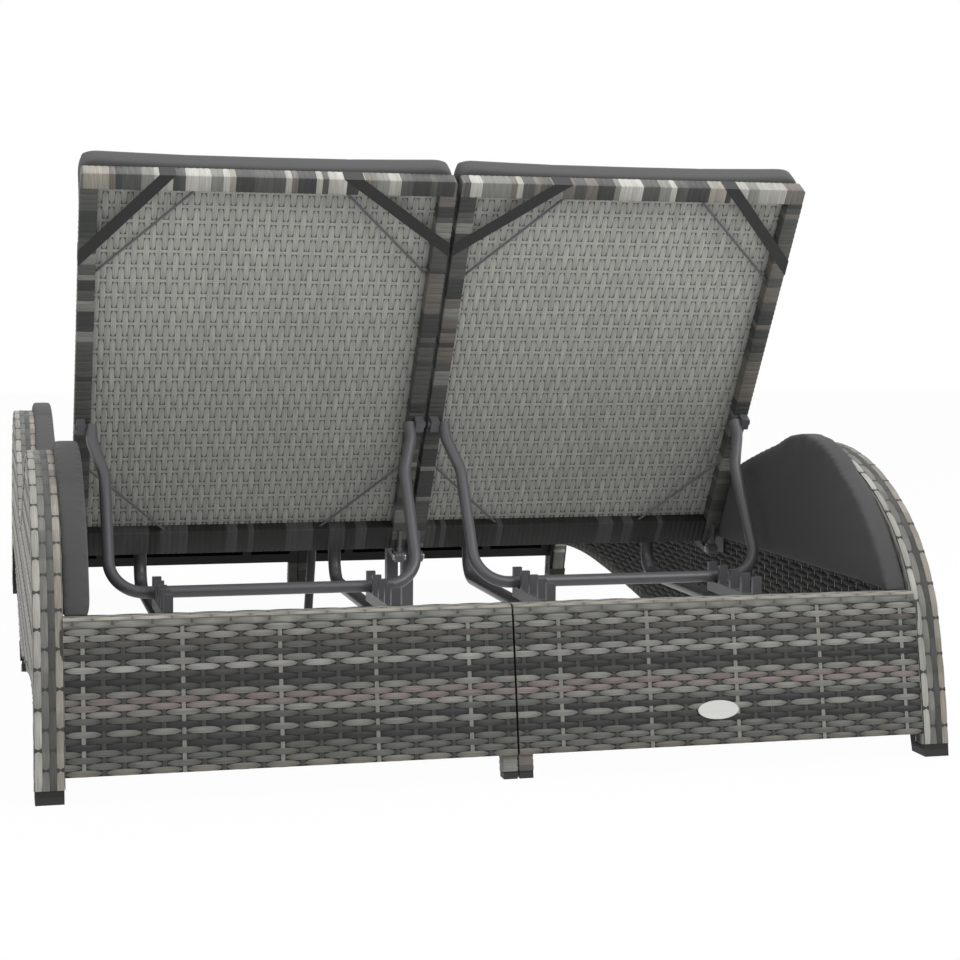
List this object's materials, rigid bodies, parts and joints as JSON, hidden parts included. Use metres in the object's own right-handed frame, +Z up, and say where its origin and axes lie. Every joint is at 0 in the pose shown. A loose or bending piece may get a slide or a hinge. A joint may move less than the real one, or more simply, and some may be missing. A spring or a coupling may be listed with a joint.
{
  "type": "double chaise lounger",
  "caption": "Woven patio lounger for people side by side: one frame with arched side walls, a cushioned seat deck and separate backrests that tilt on notched prop bars.",
  "frame": {"origin": "on the floor, under the middle of the lounger", "axes": "+X to the right seen from the head end, +Y from the head end towards the foot end, +Z up; the backrests are upright at rest"},
  "size_m": [1.32, 2, 0.8962],
  "materials": {
    "wrapped_rattan": "matte",
    "woven_rattan": "matte",
    "hidden_frame": "powder coated",
    "black_steel": "satin",
    "black_plastic": "matte",
    "bolts": "satin",
    "badge": "satin",
    "cushion_cloth": "matte",
    "strap_cloth": "matte"
  },
  "bodies": {
    "root": {"badge_plate": "badge", "brace_leg": "black_steel", "deck_brackets": "black_steel", "deck_frame_left": "hidden_frame", "deck_frame_right": "hidden_frame", "deck_weave_left": "woven_rattan", "deck_weave_right": "woven_rattan", "end_foot_caps": "black_plastic", "front_apron_frame_left": "hidden_frame", "front_apron_frame_right": "hidden_frame", "front_apron_rims": "wrapped_rattan", "front_apron_weave_left": "woven_rattan", "front_apron_weave_right": "woven_rattan", "front_side_cushion_left": "cushion_cloth", "front_side_cushion_right": "cushion_cloth", "hinge_lugs": "black_steel", "hinge_pins": "bolts", "inner_side_weave_left": "woven_rattan", "inner_side_weave_right": "woven_rattan", "joining_bolts": "bolts", "leg_caps": "black_plastic", "lower_rail_left": "wrapped_rattan", "lower_rail_right": "wrapped_rattan", "middle_feet": "black_plastic", "middle_supports": "hidden_frame", "outer_side_weave_left": "woven_rattan", "outer_side_weave_right": "woven_rattan", "rack_rails_left": "black_steel", "rack_rails_right": "black_steel", "racks_left": "black_steel", "racks_right": "black_steel", "rear_apron_frame_left": "hidden_frame", "rear_apron_frame_right": "hidden_frame", "rear_apron_rims": "wrapped_rattan", "rear_apron_weave_left": "woven_rattan", "rear_apron_weave_right": "woven_rattan", "rear_side_cushion_left": "cushion_cloth", "rear_side_cushion_right": "cushion_cloth", "seat_cushion_left": "cushion_cloth", "seat_cushion_right": "cushion_cloth", "side_frame_left": "hidden_frame", "side_frame_right": "hidden_frame", "side_rim_left": "wrapped_rattan", "side_rim_right": "wrapped_rattan"},
    "backrest_left": {"backrest_frame_left": "wrapped_rattan", "backrest_weave_left": "woven_rattan", "corner_braces_left": "black_steel", "backrest_brackets_left": "black_steel", "back_cushion_left": "cushion_cloth", "cushion_straps_left": "strap_cloth"},
    "prop_left": {"prop_bar_left": "black_steel"},
    "backrest_right": {"backrest_frame_right": "wrapped_rattan", "backrest_weave_right": "woven_rattan", "corner_braces_right": "black_steel", "backrest_brackets_right": "black_steel", "back_cushion_right": "cushion_cloth", "cushion_straps_right": "strap_cloth"},
    "prop_right": {"prop_bar_right": "black_steel"}
  },
  "joints": [
    {"name": "backrest_left_hinge", "type": "hinge", "parent": "root", "child": "backrest_left", "pos_m": [0, -0.264, 0.222], "axis": [1, 0, 0], "range_deg": [0, 58.2]},
    {"name": "prop_left_pivot", "type": "hinge", "parent": "backrest_left", "child": "prop_left", "pos_m": [0, -0.40318, 0.46222], "axis": [1, 0, 0], "range_deg": [-112, 0]},
    {"name": "backrest_right_hinge", "type": "hinge", "parent": "root", "child": "backrest_right", "pos_m": [0, -0.264, 0.222], "axis": [1, 0, 0], "range_deg": [0, 58.2]},
    {"name": "prop_right_pivot", "type": "hinge", "parent": "backrest_right", "child": "prop_right", "pos_m": [0, -0.40318, 0.46222], "axis": [1, 0, 0], "range_deg": [-112, 0]}
  ],
  "couplings": [
    {"joint": "prop_left_pivot", "follows": "backrest_left_hinge", "ratio": -1.92},
    {"joint": "prop_right_pivot", "follows": "backrest_right_hinge", "ratio": -1.92}
  ]
}
